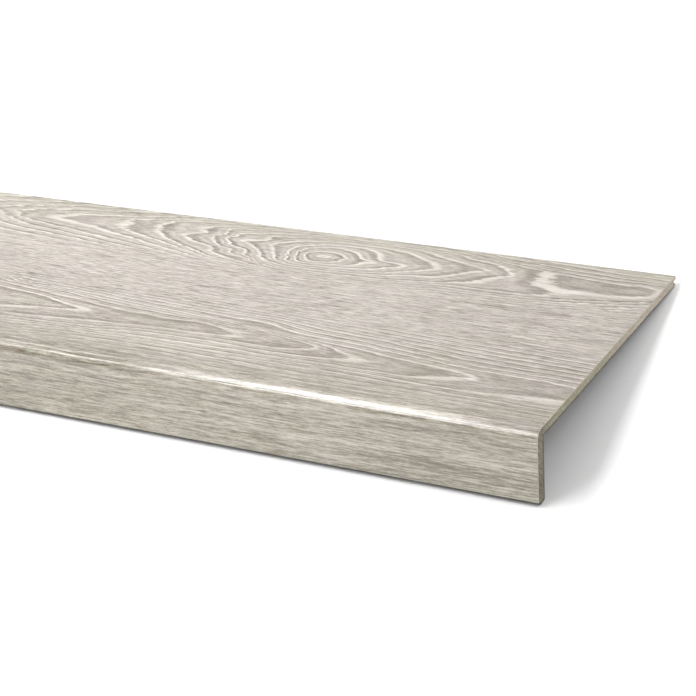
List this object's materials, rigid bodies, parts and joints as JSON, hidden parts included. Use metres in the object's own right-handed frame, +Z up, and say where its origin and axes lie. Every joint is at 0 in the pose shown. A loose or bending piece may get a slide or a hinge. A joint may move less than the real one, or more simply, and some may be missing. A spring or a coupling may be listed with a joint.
{
  "type": "stair tread",
  "caption": "Overlay stair tread: a thin wood-decor board with a rounded front edge, a turned-down nosing flange and a grooved back edge.",
  "frame": {"origin": "centre of the part's bounding box seen from above, on the floor that the part rests on", "axes": "+X along the tread, to the right for someone who climbs the stair; +Y towards the grooved back edge; +Z up. The part lies loose, so its walking surface leans back by 9.85 degrees about X, and turning the part by +9.85 degrees about X makes it level."},
  "size_m": [1, 0.3048, 0.0577],
  "materials": {
    "wood_decor_board": "satin grey-beige oak print on fibreboard"
  },
  "bodies": {
    "root": {"stair_tread": "wood_decor_board"}
  },
  "joints": []
}
